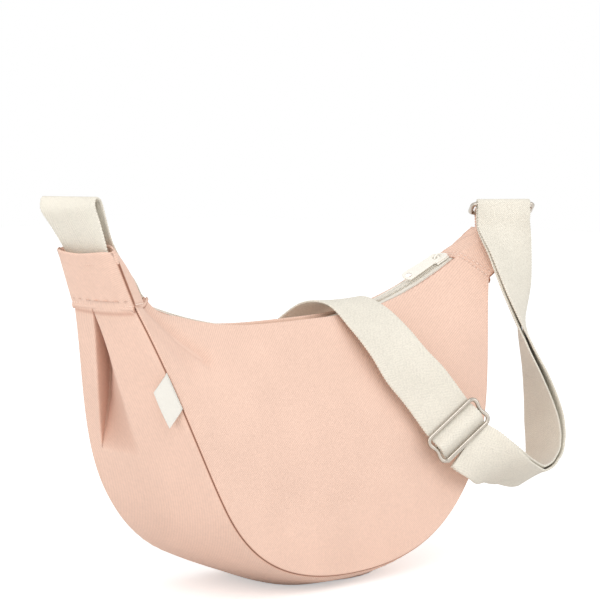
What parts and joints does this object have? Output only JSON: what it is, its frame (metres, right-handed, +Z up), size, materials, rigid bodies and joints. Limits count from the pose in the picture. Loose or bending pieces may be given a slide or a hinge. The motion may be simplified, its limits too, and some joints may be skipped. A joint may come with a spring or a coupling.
{
  "type": "shoulder bag",
  "caption": "Half-moon canvas shoulder bag with a pleated gusset, a curved zip on top, sewn end tabs and an adjustable webbing strap on a metal ring.",
  "frame": {"origin": "middle of the bag's width and depth, on the flat of the base that it stands on", "axes": "+Z up, +X along the width towards the ring tab, -Y out of the front panel"},
  "size_m": [0.4521, 0.1741, 0.2709],
  "materials": {
    "canvas": "matte twill",
    "lining": "matte plain weave",
    "webbing": "matte woven tape",
    "zip_tape": "matte tape",
    "zip_coil": "satin",
    "zip_slider": "satin",
    "hardware": "satin",
    "label": "matte tape"
  },
  "bodies": {
    "bag": {"front_panel": "canvas", "back_panel": "canvas", "gusset": "canvas", "left_tab_outer": "canvas", "left_tab_inner": "canvas", "right_tab_outer": "canvas", "right_tab_inner": "canvas", "lining_front": "lining", "lining_back": "lining", "lining_gusset": "lining", "zip_tape_front": "zip_tape", "zip_tape_back": "zip_tape", "zip_coil_front": "zip_coil", "zip_coil_back": "zip_coil", "strap_back_run": "webbing", "strap_front_run": "webbing", "strap_outer_ply": "webbing", "strap_inner_ply": "webbing", "ring_chape": "webbing", "side_label": "label"},
    "slider": {"zip_slider": "zip_slider"},
    "pull": {"zip_pull": "zip_slider"},
    "ring": {"strap_ring": "hardware", "strap_ring_fold": "webbing"},
    "adjuster": {"strap_adjuster": "hardware", "strap_adjuster_pass": "webbing", "strap_sewn_end": "webbing"}
  },
  "joints": [
    {"name": "zip_travel", "type": "hinge", "parent": "bag", "child": "slider", "pos_m": [-0.013, 0, 0.5756], "axis": [0, 1, 0], "range_deg": [0, 40], "deforming": ["zip_coil_front", "zip_coil_back"]},
    {"name": "pull_swing", "type": "hinge", "parent": "slider", "child": "pull", "pos_m": [0.15417, 0, 0.21697], "axis": [0, 1, 0], "range_deg": [0, 150]},
    {"name": "ring_swing", "type": "hinge", "parent": "bag", "child": "ring", "pos_m": [0.2054, -0.01803, 0.24848], "axis": [0.766, -0.6428, 0], "range_deg": [-50, 40], "deforming": ["strap_outer_ply", "strap_inner_ply"]},
    {"name": "adjuster_slide", "type": "slide", "parent": "bag", "child": "adjuster", "axis": [-0.5497, 0.2999, 0.7796], "range_m": [0, 0.045], "deforming": ["strap_front_run", "strap_outer_ply", "strap_inner_ply"]}
  ]
}
